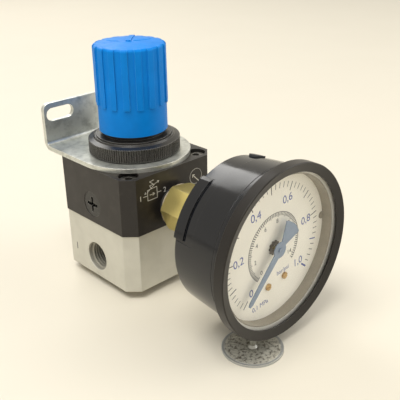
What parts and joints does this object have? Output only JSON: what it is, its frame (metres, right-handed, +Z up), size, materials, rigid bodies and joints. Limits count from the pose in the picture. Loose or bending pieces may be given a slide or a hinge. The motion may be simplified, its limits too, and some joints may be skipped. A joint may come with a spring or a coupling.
{
  "type": "air pressure regulator with gauge",
  "caption": "Compressed-air pressure regulator with a knob, knurled panel nut, slotted angle bracket and round dial gauge on a brass fitting.",
  "frame": {"origin": "centre of the base plug's flat underside, on the ground under the adjusting knob's axis", "axes": "+Z up along the knob's axis, -Y the way the gauge looks, air enters at -X and leaves at +X"},
  "size_m": [0.0706, 0.1282, 0.1077],
  "materials": {
    "silver_body": "bead blasted",
    "black_body": "black anodised, satin",
    "black_plastic": "moulded, satin",
    "blue_plastic": "moulded, satin",
    "white_plastic": "moulded",
    "zinc_sheet": "zinc plated sheet",
    "steel": "turned",
    "spring_steel": "drawn wire",
    "brass": "turned, bright",
    "old_brass": "dull",
    "black_rubber": "moulded",
    "diaphragm_rubber": "fabric reinforced",
    "seal_white": "pressed fibre",
    "case_paint": "gloss black paint on steel",
    "bezel_paint": "satin black paint on steel",
    "dial_paint": "matt white paint on aluminium",
    "ring_paint": "satin",
    "pointer_paint": "blue grey paint",
    "lens": "clear, polished",
    "worn_steel": "pitted, worn"
  },
  "bodies": {
    "root": {"lower_body": "silver_body", "bottom_plug": "black_plastic", "plug_seal": "black_rubber", "body_seal": "black_rubber", "valve_seat": "brass", "valve_spring": "spring_steel", "upper_body": "black_body", "cap_screws": "steel", "side_plug": "black_plastic", "diaphragm": "diaphragm_rubber", "main_spring": "spring_steel", "bonnet": "black_plastic", "thrust_washer": "white_plastic", "lock_ring": "white_plastic", "mounting_bracket": "zinc_sheet", "gauge_socket": "brass", "port_seal": "black_rubber", "port_washer": "seal_white", "restrictor": "old_brass", "gauge_case": "case_paint", "vent_plug": "black_rubber", "gauge_bezel": "bezel_paint", "gauge_lens": "lens", "lens_gasket": "black_rubber", "dial_ring": "ring_paint", "gauge_dial": "dial_paint", "dial_screws": "old_brass", "dial_washer": "old_brass", "dial_posts": "brass", "movement_rear_plate": "brass", "movement_front_plate": "brass", "movement_pillars": "brass", "bourdon_tube": "old_brass", "hairspring": "old_brass", "support_disc": "worn_steel", "support_pin": "worn_steel"},
    "valve": {"poppet": "brass", "poppet_seal": "black_rubber", "valve_stem": "steel", "diaphragm_plate": "steel", "spring_seat": "steel"},
    "spindle": {"spindle": "steel", "spindle_clip": "spring_steel"},
    "knob": {"knob": "blue_plastic"},
    "plate": {"spring_plate": "brass"},
    "nut": {"panel_nut": "black_plastic"},
    "tip": {"tube_tip": "brass"},
    "sector": {"sector_gear": "brass"},
    "link": {"drive_link": "steel"},
    "pointer": {"pinion": "brass", "pointer": "pointer_paint"}
  },
  "joints": [
    {"name": "spindle_turn", "type": "hinge", "parent": "root", "child": "spindle", "pos_m": [0, 0, 0.08], "axis": [0, 0, 1], "range_deg": [-1440, 0]},
    {"name": "knob_lift", "type": "slide", "parent": "spindle", "child": "knob", "axis": [0, 0, 1], "range_m": [0, 0.002]},
    {"name": "plate_travel", "type": "slide", "parent": "root", "child": "plate", "axis": [0, 0, 1], "range_m": [-0.005, 0], "deforming": ["main_spring"]},
    {"name": "valve_stroke", "type": "slide", "parent": "root", "child": "valve", "axis": [0, 0, 1], "range_m": [-0.0008, 0], "stiffness_N_per_m": 1500, "springref_m": 0.002, "deforming": ["valve_spring", "diaphragm"]},
    {"name": "nut_turn", "type": "hinge", "parent": "root", "child": "nut", "pos_m": [0, 0, 0.06], "axis": [0, 0, 1], "range_deg": [0, 90]},
    {"name": "sector_swing", "type": "hinge", "parent": "root", "child": "sector", "pos_m": [0.00909, -0.075, 0.03515], "axis": [0, 1, 0], "range_deg": [-44, 0]},
    {"name": "pointer_sweep", "type": "hinge", "parent": "root", "child": "pointer", "pos_m": [0, -0.08, 0.0404], "axis": [0, 1, 0], "range_deg": [0, 264], "deforming": ["hairspring"]},
    {"name": "link_pivot", "type": "hinge", "parent": "sector", "child": "link", "pos_m": [0.0128, -0.07, 0.03365], "axis": [0, 1, 0], "range_deg": [0, 44]},
    {"name": "tip_travel", "type": "slide", "parent": "root", "child": "tip", "axis": [0, 0, 1], "range_m": [0, 0.003], "stiffness_N_per_m": 20, "springref_m": -0.001, "deforming": ["bourdon_tube"]}
  ],
  "couplings": [
    {"joint": "spindle_turn", "follows": "plate_travel", "rad_per_m": 5026.5},
    {"joint": "sector_swing", "follows": "tip_travel", "rad_per_m": -256.25},
    {"joint": "pointer_sweep", "follows": "tip_travel", "rad_per_m": 1537.5},
    {"joint": "link_pivot", "follows": "tip_travel", "rad_per_m": 256.25}
  ]
}
